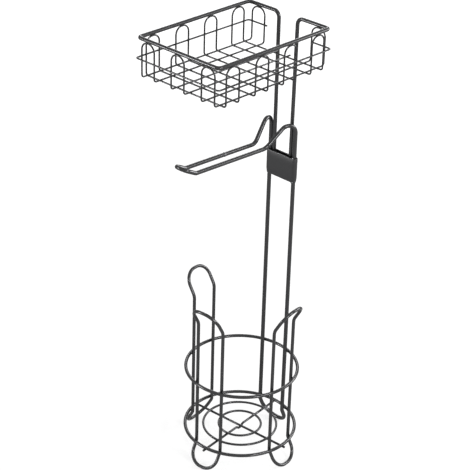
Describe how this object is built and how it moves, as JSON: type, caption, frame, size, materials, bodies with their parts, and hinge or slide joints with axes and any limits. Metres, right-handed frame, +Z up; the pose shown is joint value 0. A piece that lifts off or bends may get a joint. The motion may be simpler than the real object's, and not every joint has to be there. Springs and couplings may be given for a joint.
{
  "type": "toilet roll holder",
  "caption": "Free-standing wire toilet roll holder: round rack for spare rolls on loop feet, a roll arm bent from the uprights, and a lift-off wire basket plugged into a flat socket.",
  "frame": {"origin": "on the floor, under the centre of the bounding box", "axes": "+Z up, -Y to the front, where the roll arm points, and +X to the right as seen from the front"},
  "size_m": [0.1732, 0.2062, 0.6093],
  "materials": {
    "frame_steel": "satin to glossy dark grey powder coat, roughness about 0.42",
    "rack_steel": "satin to glossy dark grey powder coat, roughness about 0.44",
    "socket_steel": "satin dark grey powder coat on sheet steel, roughness about 0.5",
    "rim_steel": "satin to glossy dark grey powder coat, roughness about 0.42",
    "mesh_steel": "satin to glossy dark grey powder coat on thin wire, roughness about 0.46"
  },
  "bodies": {
    "stand": {"frame_wire": "frame_steel", "basket_socket": "socket_steel", "lower_ring": "rack_steel", "upper_ring": "rack_steel", "middle_floor_ring": "rack_steel", "inner_floor_ring": "rack_steel", "side_floor_bar": "rack_steel", "front_floor_bar": "rack_steel", "front_loop": "rack_steel", "left_loop": "rack_steel", "right_loop": "rack_steel"},
    "basket": {"basket_rim": "rim_steel", "basket_band": "mesh_steel", "middle_hoop": "mesh_steel", "cross_hoop_1": "mesh_steel", "cross_hoop_2": "mesh_steel", "cross_hoop_3": "mesh_steel", "cross_hoop_4": "mesh_steel", "left_hoop": "mesh_steel", "right_hoop": "mesh_steel"}
  },
  "joints": [
    {"name": "basket_lift", "type": "slide", "parent": "stand", "child": "basket", "axis": [0, 0, 1], "range_m": [0, 0.04]}
  ]
}
